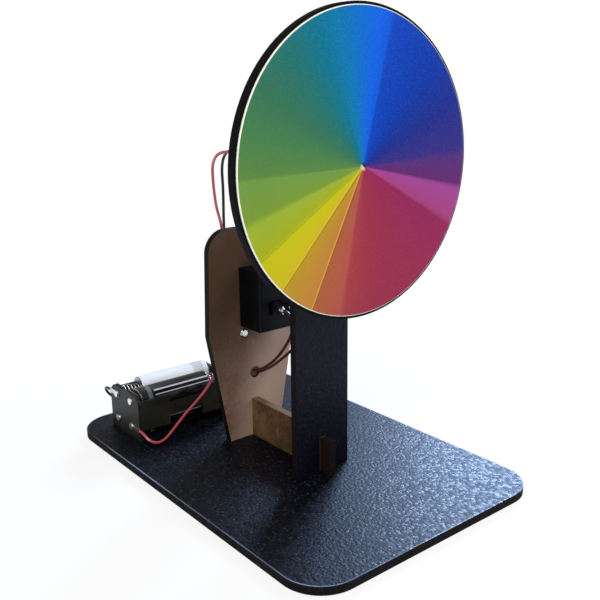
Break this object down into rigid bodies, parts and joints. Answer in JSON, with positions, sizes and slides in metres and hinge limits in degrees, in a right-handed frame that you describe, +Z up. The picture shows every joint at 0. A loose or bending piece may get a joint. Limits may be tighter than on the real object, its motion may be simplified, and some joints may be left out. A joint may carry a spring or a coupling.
{
  "type": "newton colour disc stand",
  "caption": "Motor-driven colour-mixing disc on a slotted board stand, with a rocker switch, battery holder and leads",
  "frame": {"origin": "middle of the underside of the base plate", "axes": "+Z up, +Y to the back, +X to the right seen from the front; the disc faces -Y and turns about Y"},
  "size_m": [0.16, 0.24, 0.251],
  "materials": {
    "black_board": "sheet board with a black grained film, semi-matt",
    "brown_board": "raw brown sheet board, laser-cut edges",
    "disc_board": "sheet board, charred black edge",
    "colour_card": "satin printed card, colour sectors",
    "hub_metal": "turned aluminium, fine tool marks",
    "steel": "bright steel",
    "dark_steel": "blackened steel",
    "motor_steel": "plated steel can, satin",
    "black_plastic": "moulded plastic, fine grain",
    "gloss_black": "polished moulded plastic",
    "brass": "tinned brass",
    "nickel": "nickel plate",
    "cell_silver": "silver printed film over steel",
    "cell_black": "glossy black film over steel",
    "red_wire": "soft PVC insulation, red",
    "black_wire": "soft PVC insulation, black",
    "dark_red_wire": "soft PVC insulation, dark red",
    "sleeve": "shrunk sleeve, satin"
  },
  "bodies": {
    "stand": {"back_board": "brown_board", "base_plate": "black_board", "battery_holder": "black_plastic", "battery_lead_black": "black_wire", "battery_lead_red": "red_wire", "cable_clip": "black_plastic", "cell_lower_front": "cell_black", "cell_lower_rear": "cell_silver", "cell_upper_front": "cell_black", "cell_upper_rear": "cell_silver", "clip_nut": "steel", "clip_screw": "nickel", "contact_plates": "nickel", "cross_brace": "brown_board", "front_post": "black_board", "lead_lugs": "nickel", "left_rivets": "nickel", "motor_can": "motor_steel", "motor_end_cap": "black_plastic", "motor_gearbox": "motor_steel", "motor_lead_black": "black_wire", "motor_lead_red": "red_wire", "motor_screws": "steel", "motor_terminals": "brass", "right_rivets": "nickel", "splice_sleeves": "sleeve", "spring_lower_front": "nickel", "spring_lower_rear": "nickel", "spring_upper_front": "nickel", "spring_upper_rear": "nickel", "switch_body": "black_plastic", "switch_lead_motor": "dark_red_wire", "switch_lead_supply": "dark_red_wire", "switch_terminals": "nickel"},
    "rotor": {"disc_board": "disc_board", "colour_card": "colour_card", "disc_hub": "hub_metal", "hub_set_screw": "dark_steel", "hub_screws": "steel", "motor_shaft": "steel"},
    "rocker": {"switch_rocker": "gloss_black"}
  },
  "joints": [
    {"name": "disc_spin", "type": "hinge", "parent": "stand", "child": "rotor", "pos_m": [0, -0.0424, 0.176], "axis": [0, 1, 0], "continuous": true},
    {"name": "switch_rock", "type": "hinge", "parent": "stand", "child": "rocker", "pos_m": [0.003, 0.0347, 0.0939], "axis": [1, 0, 0], "range_deg": [-8, 8]}
  ]
}
